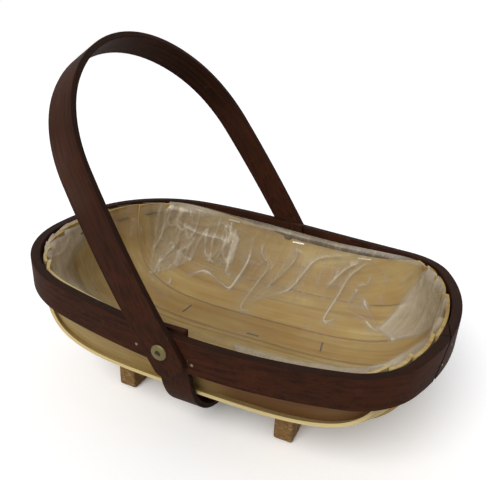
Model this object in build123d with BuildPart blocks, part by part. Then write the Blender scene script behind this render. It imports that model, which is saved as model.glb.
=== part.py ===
from build123d import *
from math import acos, cos, pi, radians, sin, sqrt
import os

os.makedirs("parts", exist_ok=True)

# Garden trug: thin boards lapped edge over edge in a bent rim, with a hoop handle.
# +X is the long way, towards the end with the rim's lap, and -Y is the front. The floor is z = 0.

# Rim band, a strip bent into a lopsided oval; reaches are measured from the waist, where the rivets are
rim_height = 24.5
rim_thickness = 7.4
rim_half_width = 127.8
rim_right_reach = 178.7
rim_left_reach = 184.3
rim_side_bow = 32.7
rim_right_radius = 197.0
rim_right_corner = 57.5
rim_left_radius = 268.0
rim_left_corner = 105.4
rim_top = 116.3
rim_right_rise = 1.6
rim_left_rise = 11.7
rim_waist_fall = 14.1
rim_rounding = 0.8

# Lap where the rim strip's two ends overlap, at the right front corner
lap_gap = 1.0
lap_top_y = -36.0
lap_bottom_y = -61.6
lap_length = 25.0

# Handle hoop
handle_lean = 33.0
handle_height = 218.3
handle_width = 25.6
handle_thickness = 4.6
handle_top_radius_share = 1.02
handle_shoulder_radius = 100.0
handle_leg_radius = 770.0
handle_tail = 19.0
handle_tail_corner = 8.0
handle_rounding = 0.8
handle_clearance = 0.4
pivot_drop = 11.3

# Lower hoop, inside the rim and round under the floor
strap_width = 25.6
strap_thickness = 4.3
strap_rise = 1.2
strap_straight = 22.0
strap_corner_y = 99.4
strap_bend_radius = 61.0
strap_top_radius = 60.0
strap_rounding = 0.6
seat_gap = 0.15

# Rivets and the rings that their ends are clinched over
rivet_radius = 2.4
rivet_head_radius = 6.0
rivet_head_height = 1.8
rivet_dimple_radius = 2.2
rivet_dimple_depth = 1.0
rivet_dimple_share = 0.7
rivet_shoulder_share = 0.33
rivet_clinch_radius = 3.5
rivet_clinch_height = 0.6
rivet_fit = 0.05
washer_radius = 4.4
washer_thickness = 0.7
washer_fit = 0.1

# Boards
board_thickness = 2.4
board_lap = 8.0
board_end_lap = 2.5
board_gap = 0.25
hull_exponent = 3.8
station_count = 8
station_bias_share = 1.3

# How far the boards' ends are pressed out towards the rim between their laps
centre_bow = 3.2
floor_bow = 2.2
bilge_bow = 2.4
side_bow = 0.4
least_bow = 0.02
bow_exponent = 8

# Lap lines: where the inner edge of each board lies at the waist, and where it ends in the rim.
# A drop is measured down from the rim's top at the waist.
floor_line_y = 26.0
floor_line_drop = 87.8
floor_line_end_y = 33.0
bilge_line_y = 53.3
bilge_line_drop = 80.5
bilge_line_end_y = 65.5
side_line_y = 92.4
side_line_drop = 61.5
side_line_end_y = 84.5
top_line_drop = 12.6
top_line_end_y = 97.0
board_end_drop = 2.0
right_drop_hold = 4.0
left_drop_hold = 0.7
end_stand_off = 1.0
rivet_notch_clearance = 0.5

# Feet, two bars of chipboard
foot_thickness = 16.0
foot_half_length = 63.9
foot_corner = 4.0
foot_rounding = 1.8
left_foot_offset = 82.1
right_foot_offset = 69.1

# Clear liner, a loose film inside the boards, drawn thicker than it is
liner_wall = 1.0
liner_gap = 0.3
liner_stand_off = 2.8
liner_rim_drop = 4.0
liner_rim_fall = 8.0
liner_level_shares = (0.0, 0.3, 0.6, 0.78, 0.9, 0.965, 1.0)
liner_tip_share = 0.004
liner_shoulder_run_share = 0.6
liner_shoulder_width_share = 0.93

# Staples and nails
staple_crown = 12.7
staple_wire_width = 1.2
staple_wire_thickness = 0.6
film_staple_leg = 2.1
board_staple_leg = 8.5
foot_staple_leg = 9.5
staple_hole_clearance = 0.05
film_under_staple = 0.15
nail_radius = 0.7
nail_head_radius = 1.15
nail_head_height = 0.5
rim_nail_length = 13.6
lap_nail_length = 7.0
nail_fit = 0.05

# Where staples and nails go: distances from the waist, drops below the rim's top, shares of a board's width
rim_nail_spots = ((-22.3, 16.5), (17.9, 14.2), (21.8, 16.4))
lap_nail_spots = ((-47.0, 17.5), (-33.0, 8.0))
liner_staple_offsets = (-108.0, -66.0, 13.0, 88.0)
liner_staple_width_share = 0.94
end_staple_turn = 0.022
end_staple_width_share = 0.5
foot_staple_width_share = 0.42
strap_staple_width_share = 0.12

overrun = 5.0

waist_x = (rim_left_reach - rim_right_reach) / 2
pivot_z = rim_top - pivot_drop


class Quarter:
    """One quarter of an oval: a side arc, a corner arc and an end arc that run into each other."""

    def __init__(self, reach, half_width, end_radius, side_radius, corner_radius):
        self.reach = reach
        self.half_width = half_width
        self.side_radius = side_radius
        self.corner_radius = corner_radius
        self.end_radius = end_radius
        self.end_centre = Vector(reach - end_radius, 0)
        self.side_centre = Vector(0, half_width - side_radius)
        between = self.side_centre - self.end_centre
        near = end_radius - corner_radius
        far = side_radius - corner_radius
        along = (near**2 - far**2 + between.length**2) / (2 * between.length)
        across = sqrt(near**2 - along**2)
        unit = between.normalized()
        self.corner_centre = self.end_centre + unit * along + Vector(-unit.Y, unit.X) * across
        if self.corner_centre.Y < 0:
            self.corner_centre = self.end_centre + unit * along - Vector(-unit.Y, unit.X) * across
        self.end_way = (self.corner_centre - self.end_centre).normalized()
        self.side_way = (self.corner_centre - self.side_centre).normalized()

    def points(self, inset):
        """Waist, start of the corner, end of the corner and tip, moved in by inset."""
        side_join = self.side_centre + self.side_way * (self.side_radius - inset)
        end_join = self.end_centre + self.end_way * (self.end_radius - inset)
        return [Vector(0, self.half_width - inset), side_join, end_join, Vector(self.reach - inset, 0)]

    def half_width_at(self, x, inset):
        """Half width of the oval at the distance x from its waist."""
        side_join, end_join = self.points(inset)[1:3]
        if x <= side_join.X:
            return self.side_centre.Y + sqrt((self.side_radius - inset) ** 2 - x**2)
        if x <= end_join.X:
            centre, radius = self.corner_centre, self.corner_radius - inset
        else:
            centre, radius = self.end_centre, self.end_radius - inset
        return centre.Y + sqrt(max(radius**2 - (x - centre.X) ** 2, 0))

    def reach_at(self, y, inset):
        """How far the oval reaches from its waist at the half width y."""
        end_join = self.points(inset)[2]
        if y <= end_join.Y:
            centre, radius = self.end_centre, self.end_radius - inset
        else:
            centre, radius = self.corner_centre, self.corner_radius - inset
        return centre.X + sqrt(radius**2 - (y - centre.Y) ** 2)


# The rim's two sides are one arc, which would come in by the side's bow over the mean reach
rim_mean_reach = (rim_right_reach + rim_left_reach) / 2
rim_side_radius = rim_mean_reach**2 / (2 * rim_side_bow) + rim_side_bow / 2
right_rim = Quarter(rim_right_reach, rim_half_width, rim_right_radius, rim_side_radius, rim_right_corner)
left_rim = Quarter(rim_left_reach, rim_half_width, rim_left_radius, rim_side_radius, rim_left_corner)


def rim_height_at(x):
    """Height of the rim's top, at the distance x from the waist, above its height there."""
    slope = rim_waist_fall / rim_right_reach
    reach, rise = (rim_right_reach, rim_right_rise) if x > 0 else (-rim_left_reach, rim_left_rise)
    return -slope * x + (rise + slope * reach) * (x / reach) ** 2


def half_oval(right, left, inset):
    """Upper half of an oval about the waist, drawn from its right tip to its left tip."""
    for quarter, way in ((right, 1), (left, -1)):
        places = [Vector(way * p.X + waist_x, p.Y) for p in quarter.points(inset)]
        side = TangentArc(places[0], places[1], tangent=(way, 0))
        corner = TangentArc(places[1], places[2], tangent=side % 1)
        TangentArc(places[2], places[3], tangent=corner % 1)


def rim_band_profile(drop):
    """Edge of the rim as seen from the front, from past its left end to past its right end."""
    for reach, rise, way in ((rim_right_reach, rim_right_rise, 1), (rim_left_reach, rim_left_rise, -1)):
        start = (waist_x, rim_top - drop)
        end = (waist_x + way * (reach + overrun), rim_top + rise - drop)
        TangentArc(start, end, tangent=(way, -way * rim_waist_fall / rim_right_reach))


def rim_plane(x, drop, side):
    """Plane on the rim's outer wall, facing outwards, at the distance x from the waist."""
    quarter = right_rim if x > 0 else left_rim
    y = quarter.half_width_at(abs(x), 0)
    centre = quarter.side_centre if abs(x) < quarter.points(0)[1].X else quarter.corner_centre
    outward = Vector(abs(x) - centre.X, y - centre.Y).normalized()
    spot = Vector(waist_x + x, side * y, rim_top + rim_height_at(x) - drop)
    facing = (outward.X if x > 0 else -outward.X, side * outward.Y, 0)
    return Plane(origin=spot, x_dir=(0, 0, 1), z_dir=facing)


def lap_plane(y, z):
    """Plane of the lap's slot at a height, with x along the slot, from the outer wall to the inner one."""
    inner_y = y + lap_length
    start = Vector(waist_x + right_rim.reach_at(-y, 0), y, z)
    end = Vector(waist_x + right_rim.reach_at(-inner_y, rim_thickness), inner_y, z)
    return Plane(origin=(start + end) / 2, x_dir=end - start, z_dir=(0, 0, 1))


def mould_point(line, turn):
    """Point of a lap line on the rear side; turn is 0 at its right end and a quarter turn at the waist."""
    way = 1 if turn <= pi / 2 else -1
    run = abs(cos(turn)) ** (2 / hull_exponent)
    fall = sin(turn) ** (2 / hull_exponent)
    reach = line["right_reach"] if way > 0 else line["left_reach"]
    x = way * reach * run
    if line["follows_rim"]:
        quarter = right_rim if way > 0 else left_rim
        hold = right_drop_hold if way > 0 else left_drop_hold
        stand_off = (strap_thickness + seat_gap) * (1 - run**2)
        y = quarter.half_width_at(abs(x), rim_thickness) - board_thickness - end_stand_off - stand_off
        drop = line["drop"] + (board_end_drop - line["drop"]) * run**hold
        return Vector(waist_x + x, y, rim_top + rim_height_at(x) - drop)
    end_z = rim_height_at(way * reach) - board_end_drop
    y = line["end_y"] + (line["y"] - line["end_y"]) * fall
    return Vector(waist_x + x, y, rim_top + end_z + (-line["drop"] - end_z) * fall)


def lap_line(y, drop, end_y, layers, follows_rim=False):
    """A lap line whose ends stand inside the rim by the boards that pass behind it there."""
    inset = rim_thickness + layers * (board_thickness + board_gap) + end_stand_off
    lapped_y = end_y if follows_rim else end_y + board_end_lap
    return {
        "y": y,
        "drop": drop,
        "end_y": end_y,
        "follows_rim": follows_rim,
        "right_reach": right_rim.reach_at(lapped_y, inset),
        "left_reach": left_rim.reach_at(lapped_y, inset),
    }


floor_line = lap_line(floor_line_y, floor_line_drop, floor_line_end_y, 2)
bilge_line = lap_line(bilge_line_y, bilge_line_drop, bilge_line_end_y, 2)
side_line = lap_line(side_line_y, side_line_drop, side_line_end_y, 2)
top_line = lap_line(0, top_line_drop, top_line_end_y, 1, follows_rim=True)
turns = [pi / 2 * (i / station_count) ** station_bias_share for i in range(station_count + 1)]
turns += [pi - turn for turn in reversed(turns[:-1])]


def path_way(low, high, turn):
    """Direction in which a board runs at a station, from right to left."""
    step = pi / 2 / station_count**3
    before, after = max(turn - step, 0), min(turn + step, pi)
    return (low(after) + high(after) - low(before) - high(before)).normalized()


def station(low, high, turn):
    """Plane at a board's inner lower edge, with x across the board and y outwards, and the chord's length."""
    chord = high(turn) - low(turn)
    across = chord.normalized()
    along = path_way(low, high, turn)
    along = (along - across * along.dot(across)).normalized()
    return Plane(origin=low(turn), x_dir=across, z_dir=along), chord.length


def under(low, high):
    """Line just outside a board's lower outer corner, where the inner face of the board below passes."""

    def point(turn):
        plane, width = station(low, high, turn)
        return plane.origin + plane.y_dir * (board_thickness + board_gap)

    return point


def edge(line):
    """A lap line's points, as a function of the turn."""
    return lambda turn: mould_point(line, turn)


def flipped(spot):
    """A point or direction on the other side of the trug."""
    return Vector(spot.X, -spot.Y, spot.Z)


def across_middle(line):
    """The line's mirror image on the front side."""
    return lambda turn: flipped(line(turn))


side_low, side_high = edge(side_line), edge(top_line)
bilge_low, bilge_high = edge(bilge_line), under(side_low, side_high)
floor_low, floor_high = edge(floor_line), under(bilge_low, bilge_high)
centre_high = under(floor_low, floor_high)
centre_low = across_middle(centre_high)


def bow_at(bow, turn):
    """How far a board's middle stands out from its edges at a station."""
    return max(bow * abs(cos(turn)) ** (2 * bow_exponent / hull_exponent), least_bow)


def board_outline(start, end, bow):
    """Outline of a board's section from start to end across it, bent outwards by its bow."""
    middle = (start + end) / 2
    ThreePointArc((start, 0), (middle, bow), (end, 0))
    Line((end, 0), (end, board_thickness))
    ThreePointArc((end, board_thickness), (middle, board_thickness + bow), (start, board_thickness))
    Line((start, board_thickness), (start, 0))


def board_spot(low, high, turn, share, bow):
    """Plane on a board's inner face, facing inwards, at a share of its width from its lower line."""
    plane, width = station(low, high, turn)
    stand_out = bow_at(bow, turn) * 4 * share * (1 - share)
    spot = plane.origin + plane.x_dir * width * share + plane.y_dir * stand_out
    return Plane(origin=spot, x_dir=plane.z_dir, z_dir=-plane.y_dir)


def mirrored(plane):
    """The same plane on the other side of the trug."""
    return Plane(origin=flipped(plane.origin), x_dir=flipped(plane.x_dir), z_dir=flipped(plane.z_dir))


def lap_at(turn):
    """How far a board runs on behind the next one, less at the ends than at the waist."""
    return board_end_lap + (board_lap - board_end_lap) * sin(turn)


def board_sections(low, high, bow, lower_lap=0, upper_lap=1):
    """Planes of a board's sections, where each starts and ends across the board, and its bow.
    A lap of 1 makes the board run on behind its neighbour there."""
    for turn in turns:
        plane, width = station(low, high, turn)
        yield plane, -lower_lap * lap_at(turn), width + upper_lap * lap_at(turn), bow_at(bow, turn)


def staple(plane, leg, clearance=0):
    """A staple across a plane's origin, its crown along the plane's x and its legs behind the plane."""
    top = film_under_staple + staple_wire_thickness + clearance
    underside = film_under_staple - clearance
    outer = staple_crown / 2 + clearance
    inner = staple_crown / 2 - staple_wire_thickness - clearance
    tip = -leg - clearance
    with BuildPart(mode=Mode.PRIVATE) as piece:
        with BuildSketch(Plane(origin=plane.origin, x_dir=plane.x_dir, z_dir=-plane.y_dir)):
            with BuildLine():
                Polyline(
                    (-outer, tip),
                    (-outer, top),
                    (outer, top),
                    (outer, tip),
                    (inner, tip),
                    (inner, underside),
                    (-inner, underside),
                    (-inner, tip),
                    close=True,
                )
            make_face()
        extrude(amount=staple_wire_width / 2 + clearance, both=True)
    return piece.part


def nail(plane, length, clearance=0):
    """A nail with a flat head driven flush into the face that the plane lies on, pointing behind it."""
    with BuildPart(mode=Mode.PRIVATE) as piece:
        head_base = plane.origin - plane.z_dir * (nail_head_height + clearance)
        with BuildSketch(Plane(origin=head_base, x_dir=plane.x_dir, z_dir=plane.z_dir)):
            Circle(nail_head_radius + clearance)
        extrude(amount=nail_head_height + clearance)
        tip = plane.origin - plane.z_dir * (length + clearance)
        with BuildSketch(Plane(origin=tip, x_dir=plane.x_dir, z_dir=plane.z_dir)):
            Circle(nail_radius + clearance)
        extrude(amount=length + clearance)
    return piece.part


def both_sides(planes):
    """Planes on the rear side and their mirror images on the front side."""
    return planes + [mirrored(plane) for plane in planes]


def turn_at(line, x):
    """Turn at which a lap line passes the distance x from the waist."""
    reach = line["right_reach"] if x > 0 else line["left_reach"]
    run = (abs(x) / reach) ** (hull_exponent / 2)
    turn = acos(min(run, 1))
    return turn if x > 0 else pi - turn


def along_board(low, high, line, x, share):
    """Plane on a board's inner face at the distance x from the waist, its x running along the board."""
    return board_spot(low, high, turn_at(line, x), share, least_bow)


def across_ends(low, high, bow):
    """Planes on a board's inner face near its two ends, their x running across the board."""
    ends = (end_staple_turn, pi - end_staple_turn)
    spots = [board_spot(low, high, turn, end_staple_width_share, bow) for turn in ends]
    return [Plane(origin=spot.origin, x_dir=spot.y_dir, z_dir=spot.z_dir) for spot in spots]


def inner_lower(edge):
    """Whether an edge of the rim is the one under its inner wall."""
    middle = edge @ 0.5
    x = middle.X - waist_x
    quarter = right_rim if x > 0 else left_rim
    tip_reach = quarter.reach - rim_thickness / 2
    outside = abs(x) > tip_reach or abs(middle.Y) > quarter.half_width_at(abs(x), rim_thickness / 2)
    return not outside and middle.Z < rim_top + rim_height_at(x) - rim_height / 2


rim_nail_planes = [rim_plane(x, drop, 1) for x, drop in rim_nail_spots]
lap_nail_planes = [rim_plane(right_rim.reach_at(-y, 0), drop, -1) for y, drop in lap_nail_spots]
liner_staple_planes = [
    along_board(side_low, side_high, side_line, x, liner_staple_width_share) for x in liner_staple_offsets
]
bilge_end_planes = across_ends(bilge_low, bilge_high, bilge_bow)
floor_end_planes = across_ends(floor_low, floor_high, floor_bow)
centre_end_planes = across_ends(centre_low, centre_high, centre_bow)
foot_staple_spots = [
    along_board(floor_low, floor_high, floor_line, x, foot_staple_width_share)
    for x in (right_foot_offset, -left_foot_offset)
]
foot_staple_planes = [Plane(origin=s.origin, x_dir=s.y_dir, z_dir=s.z_dir) for s in foot_staple_spots]
strap_staple_planes = [along_board(floor_low, floor_high, floor_line, 0, strap_staple_width_share)]

with BuildPart() as rim_band:
    with BuildSketch():
        with BuildLine():
            half_oval(right_rim, left_rim, 0)
            mirror(about=Plane.XZ)
        make_face()
        with BuildLine():
            half_oval(right_rim, left_rim, rim_thickness)
            mirror(about=Plane.XZ)
        make_face(mode=Mode.SUBTRACT)
    extrude(amount=rim_top + rim_left_rise + overrun)
    with BuildSketch(Plane.XZ):
        with BuildLine():
            rim_band_profile(0)
            rim_band_profile(rim_height)
            for way, reach in ((1, rim_right_reach), (-1, rim_left_reach)):
                rise = rim_right_rise if way > 0 else rim_left_rise
                end_x = waist_x + way * (reach + overrun)
                Line((end_x, rim_top + rise), (end_x, rim_top + rise - rim_height))
        make_face()
    extrude(amount=rim_half_width + overrun, both=True, mode=Mode.INTERSECT)
    fillet([e for e in rim_band.edges() if e.length > 2 * rim_height and not inner_lower(e)], rim_rounding)
    for z, y in ((rim_top - rim_height - overrun, lap_bottom_y), (rim_top + overrun, lap_top_y)):
        with BuildSketch(lap_plane(y, z)):
            Rectangle(lap_length + 2 * overrun, lap_gap)
    loft(ruled=True, mode=Mode.SUBTRACT)
    with BuildSketch(Plane.XZ):
        with Locations((waist_x, pivot_z)):
            Circle(rivet_radius + rivet_fit)
    extrude(amount=rim_half_width + overrun, both=True, mode=Mode.SUBTRACT)
    for plane in both_sides(rim_nail_planes):
        add(nail(plane, rim_nail_length, nail_fit), mode=Mode.SUBTRACT)
    for plane in lap_nail_planes:
        add(nail(plane, lap_nail_length, nail_fit), mode=Mode.SUBTRACT)
    for plane in both_sides(bilge_end_planes + floor_end_planes) + centre_end_planes:
        add(staple(plane, board_staple_leg, staple_hole_clearance), mode=Mode.SUBTRACT)
rim_band.part.label = "rim_band"
export_step(rim_band.part, "parts/rim_band.step")

handle_inner = rim_half_width + handle_clearance
handle_outer = handle_inner + handle_thickness
handle_top_radius = handle_top_radius_share * (handle_inner + handle_thickness / 2)
handle_facing = Vector(cos(radians(handle_lean)), 0, sin(radians(handle_lean)))
handle_plane = Plane(origin=(waist_x, 0, pivot_z), x_dir=(0, 1, 0), z_dir=handle_facing)
hoop = Quarter(
    handle_height + handle_thickness / 2,
    handle_outer,
    handle_top_radius + handle_thickness / 2,
    handle_leg_radius + handle_thickness / 2,
    handle_shoulder_radius + handle_thickness / 2,
)


def half_hoop(inset):
    """Right half of the handle's outline, from the end of its leg to the middle of its top."""
    places = [Vector(p.Y, p.X) for p in hoop.points(inset)]
    Line((places[0].X, -handle_tail), places[0])
    side = TangentArc(places[0], places[1], tangent=(0, 1))
    corner = TangentArc(places[1], places[2], tangent=side % 1)
    TangentArc(places[2], places[3], tangent=corner % 1)


with BuildPart() as handle_hoop:
    with BuildSketch(handle_plane):
        with BuildLine():
            half_hoop(0)
            half_hoop(handle_thickness)
            Line((handle_outer, -handle_tail), (handle_inner, -handle_tail))
            mirror(about=Plane.YZ)
        make_face()
    extrude(amount=handle_width / 2, both=True)
    fillet(handle_hoop.edges().filter_by(Axis.Y), handle_tail_corner)
    long_edges = [e for e in handle_hoop.edges() if e.length > 2 * handle_tail_corner]
    fillet(long_edges, handle_rounding)
    with BuildSketch(Plane.XZ):
        with Locations((waist_x, pivot_z)):
            Circle(rivet_radius + rivet_fit)
    extrude(amount=handle_outer + overrun, both=True, mode=Mode.SUBTRACT)
handle_hoop.part.label = "handle_hoop"
export_step(handle_hoop.part, "parts/handle_hoop.step")

# The lower hoop's top stands against the rim's inner wall and its floor just under the centre board
strap_outer = right_rim.half_width_at(strap_width / 2, rim_thickness) - seat_gap
strap_inner = strap_outer - strap_thickness
centre_underside = centre_high(pi / 2).Z - board_thickness
strap_bottom = centre_underside - seat_gap - strap_thickness
strap_top = rim_top + strap_rise

with BuildPart() as lower_hoop:
    with BuildSketch(Plane.YZ.offset(waist_x)):
        with BuildLine():
            FilletPolyline(
                (strap_outer, strap_top),
                (strap_outer, rim_top - strap_straight),
                (strap_corner_y, strap_bottom),
                (-strap_corner_y, strap_bottom),
                (-strap_outer, rim_top - strap_straight),
                (-strap_outer, strap_top),
                radius=[strap_top_radius, strap_bend_radius, strap_bend_radius, strap_top_radius],
            )
            offset(amount=strap_thickness, side=Side.RIGHT)
        make_face()
    extrude(amount=strap_width / 2, both=True)
    fillet(lower_hoop.edges().filter_by(Axis.X, reverse=True).filter_by(Axis.Y, reverse=True), strap_rounding)
    with BuildSketch(Plane.XZ):
        with Locations((waist_x, pivot_z)):
            Circle(rivet_radius + rivet_fit)
    extrude(amount=rim_half_width, both=True, mode=Mode.SUBTRACT)
    for plane in both_sides(strap_staple_planes):
        add(staple(plane, foot_staple_leg, staple_hole_clearance), mode=Mode.SUBTRACT)
lower_hoop.part.label = "lower_hoop"
export_step(lower_hoop.part, "parts/lower_hoop.step")

# Rivets: a domed, dimpled head outside the handle, and an end clinched over a ring inside the lower hoop
head_seat = handle_outer + seat_gap
ring_seat = strap_inner - seat_gap
clinch_seat = ring_seat - washer_thickness - washer_fit

clinch_end = clinch_seat - rivet_clinch_height
crown = (rivet_dimple_radius, head_seat + rivet_head_height)
shoulder = (rivet_head_radius, head_seat + rivet_head_height * rivet_shoulder_share)
dimple_floor = (rivet_dimple_radius * rivet_dimple_share, head_seat + rivet_head_height - rivet_dimple_depth)

with BuildPart() as rear_rivet:
    with BuildSketch(Plane(origin=(waist_x, 0, pivot_z), x_dir=(1, 0, 0), z_dir=(0, 0, 1))):
        with BuildLine():
            Polyline(
                (0, clinch_end),
                (rivet_clinch_radius, clinch_end),
                (rivet_clinch_radius, clinch_seat),
                (rivet_radius, clinch_seat),
                (rivet_radius, head_seat),
                (rivet_head_radius, head_seat),
                shoulder,
            )
            TangentArc(crown, shoulder, tangent=(1, 0))
            Polyline(crown, dimple_floor, (0, dimple_floor[1]), (0, clinch_end))
        make_face()
    revolve(axis=Axis((waist_x, 0, pivot_z), (0, 1, 0)))
rear_rivet.part.label = "rear_rivet"
export_step(rear_rivet.part, "parts/rear_rivet.step")

with BuildPart() as front_rivet:
    mirror(rear_rivet.part, about=Plane.XZ)
front_rivet.part.label = "front_rivet"
export_step(front_rivet.part, "parts/front_rivet.step")

with BuildPart() as rear_rivet_washer:
    with BuildSketch(Plane(origin=(waist_x, ring_seat, pivot_z), x_dir=(1, 0, 0), z_dir=(0, -1, 0))):
        Circle(washer_radius)
        Circle(rivet_radius + washer_fit, mode=Mode.SUBTRACT)
    extrude(amount=washer_thickness)
rear_rivet_washer.part.label = "rear_rivet_washer"
export_step(rear_rivet_washer.part, "parts/rear_rivet_washer.step")

with BuildPart() as front_rivet_washer:
    mirror(rear_rivet_washer.part, about=Plane.XZ)
front_rivet_washer.part.label = "front_rivet_washer"
export_step(front_rivet_washer.part, "parts/front_rivet_washer.step")

with BuildPart() as rear_side_board:
    for plane, start, end, bow in board_sections(side_low, side_high, side_bow, upper_lap=0):
        with BuildSketch(plane):
            with BuildLine():
                board_outline(start, end, bow)
            make_face()
    loft()
    with BuildSketch(Plane.XZ):
        with Locations((waist_x, pivot_z)):
            Circle(washer_radius + rivet_notch_clearance)
    extrude(amount=-rim_half_width, mode=Mode.SUBTRACT)
    for plane in rim_nail_planes:
        add(nail(plane, rim_nail_length, nail_fit), mode=Mode.SUBTRACT)
    for plane in liner_staple_planes:
        add(staple(plane, film_staple_leg, staple_hole_clearance), mode=Mode.SUBTRACT)
rear_side_board.part.label = "rear_side_board"
export_step(rear_side_board.part, "parts/rear_side_board.step")

with BuildPart() as rear_bilge_board:
    for plane, start, end, bow in board_sections(bilge_low, bilge_high, bilge_bow):
        with BuildSketch(plane):
            with BuildLine():
                board_outline(start, end, bow)
            make_face()
    loft()
    for plane in bilge_end_planes:
        add(staple(plane, board_staple_leg, staple_hole_clearance), mode=Mode.SUBTRACT)
rear_bilge_board.part.label = "rear_bilge_board"
export_step(rear_bilge_board.part, "parts/rear_bilge_board.step")

with BuildPart() as rear_floor_board:
    for plane, start, end, bow in board_sections(floor_low, floor_high, floor_bow):
        with BuildSketch(plane):
            with BuildLine():
                board_outline(start, end, bow)
            make_face()
    loft()
    for plane in floor_end_planes:
        add(staple(plane, board_staple_leg, staple_hole_clearance), mode=Mode.SUBTRACT)
    for plane in foot_staple_planes + strap_staple_planes:
        add(staple(plane, foot_staple_leg, staple_hole_clearance), mode=Mode.SUBTRACT)
rear_floor_board.part.label = "rear_floor_board"
export_step(rear_floor_board.part, "parts/rear_floor_board.step")

with BuildPart() as centre_board:
    for plane, start, end, bow in board_sections(centre_low, centre_high, centre_bow, lower_lap=1):
        with BuildSketch(plane):
            with BuildLine():
                board_outline(start, end, bow)
            make_face()
    loft()
    for plane in centre_end_planes:
        add(staple(plane, board_staple_leg, staple_hole_clearance), mode=Mode.SUBTRACT)
    for plane in both_sides(foot_staple_planes + strap_staple_planes):
        add(staple(plane, foot_staple_leg, staple_hole_clearance), mode=Mode.SUBTRACT)
centre_board.part.label = "centre_board"
export_step(centre_board.part, "parts/centre_board.step")

with BuildPart() as front_side_board:
    mirror(rear_side_board.part, about=Plane.XZ)
front_side_board.part.label = "front_side_board"
export_step(front_side_board.part, "parts/front_side_board.step")

with BuildPart() as front_bilge_board:
    mirror(rear_bilge_board.part, about=Plane.XZ)
front_bilge_board.part.label = "front_bilge_board"
export_step(front_bilge_board.part, "parts/front_bilge_board.step")

with BuildPart() as front_floor_board:
    mirror(rear_floor_board.part, about=Plane.XZ)
front_floor_board.part.label = "front_floor_board"
export_step(front_floor_board.part, "parts/front_floor_board.step")


def foot_outline(x):
    """Foot seen along the trug, flat on the floor, its top cradling the boards at a distance from the waist."""
    turn = turn_at(floor_line, x)
    flat_z = centre_high(turn).Z - board_thickness - seat_gap
    flat_y = centre_high(turn).Y + board_lap + seat_gap
    plane, width = station(floor_low, floor_high, turn)
    outside = plane.origin + plane.y_dir * (board_thickness + seat_gap)
    tip_z = outside.Z + plane.x_dir.Z * (foot_half_length - outside.Y) / plane.x_dir.Y
    Line((0, flat_z), (flat_y, flat_z))
    Line((flat_y, flat_z), (foot_half_length, tip_z))
    Line((foot_half_length, tip_z), (foot_half_length, 0))
    Line((foot_half_length, 0), (0, 0))


with BuildPart() as right_foot:
    with BuildSketch(Plane.YZ.offset(waist_x + right_foot_offset - foot_thickness / 2)):
        with BuildLine():
            foot_outline(right_foot_offset - foot_thickness / 2)
            mirror(about=Plane.YZ)
        make_face()
    extrude(amount=foot_thickness)
    fillet(right_foot.edges().filter_by(Axis.X).group_by(Axis.Z)[0], foot_corner)
    fillet(right_foot.edges().filter_by(Axis.Y).group_by(Axis.Z)[0], foot_rounding)
    for plane in both_sides(foot_staple_planes[:1]):
        add(staple(plane, foot_staple_leg, staple_hole_clearance), mode=Mode.SUBTRACT)
right_foot.part.label = "right_foot"
export_step(right_foot.part, "parts/right_foot.step")

with BuildPart() as left_foot:
    with BuildSketch(Plane.YZ.offset(waist_x - left_foot_offset + foot_thickness / 2)):
        with BuildLine():
            foot_outline(foot_thickness / 2 - left_foot_offset)
            mirror(about=Plane.YZ)
        make_face()
    extrude(amount=-foot_thickness)
    fillet(left_foot.edges().filter_by(Axis.X).group_by(Axis.Z)[0], foot_corner)
    fillet(left_foot.edges().filter_by(Axis.Y).group_by(Axis.Z)[0], foot_rounding)
    for plane in both_sides(foot_staple_planes[1:]):
        add(staple(plane, foot_staple_leg, staple_hole_clearance), mode=Mode.SUBTRACT)
left_foot.part.label = "left_foot"
export_step(left_foot.part, "parts/left_foot.step")

with BuildPart() as foot_staples:
    for plane in both_sides(foot_staple_planes):
        add(staple(plane, foot_staple_leg))
foot_staples.part.label = "foot_staples"
export_step(foot_staples.part, "parts/foot_staples.step")

with BuildPart() as strap_staples:
    for plane in both_sides(strap_staple_planes):
        add(staple(plane, foot_staple_leg))
strap_staples.part.label = "strap_staples"
export_step(strap_staples.part, "parts/strap_staples.step")

with BuildPart() as board_staples:
    for plane in both_sides(bilge_end_planes + floor_end_planes) + centre_end_planes:
        add(staple(plane, board_staple_leg))
board_staples.part.label = "board_staples"
export_step(board_staples.part, "parts/board_staples.step")

with BuildPart() as liner_staples:
    for plane in both_sides(liner_staple_planes):
        add(staple(plane, film_staple_leg))
liner_staples.part.label = "liner_staples"
export_step(liner_staples.part, "parts/liner_staples.step")

with BuildPart() as rim_nails:
    for plane in both_sides(rim_nail_planes):
        add(nail(plane, rim_nail_length))
rim_nails.part.label = "rim_nails"
export_step(rim_nails.part, "parts/rim_nails.step")

with BuildPart() as rim_lap_nails:
    for plane in lap_nail_planes:
        add(nail(plane, lap_nail_length))
rim_lap_nails.part.label = "rim_lap_nails"
export_step(rim_lap_nails.part, "parts/rim_lap_nails.step")


def section_half_width(drop):
    """Half width of the hull's inside at the waist, at a drop below the rim's top."""
    corners = [(top_line_drop, side_high(pi / 2).Y)]
    corners += [(line["drop"], line["y"]) for line in (side_line, bilge_line, floor_line)]
    if drop <= corners[0][0]:
        return corners[0][1]
    for (upper, wide), (lower, narrow) in zip(corners, corners[1:]):
        if drop <= lower:
            return wide + (narrow - wide) * (drop - upper) / (lower - upper)
    return floor_line_y


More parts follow.
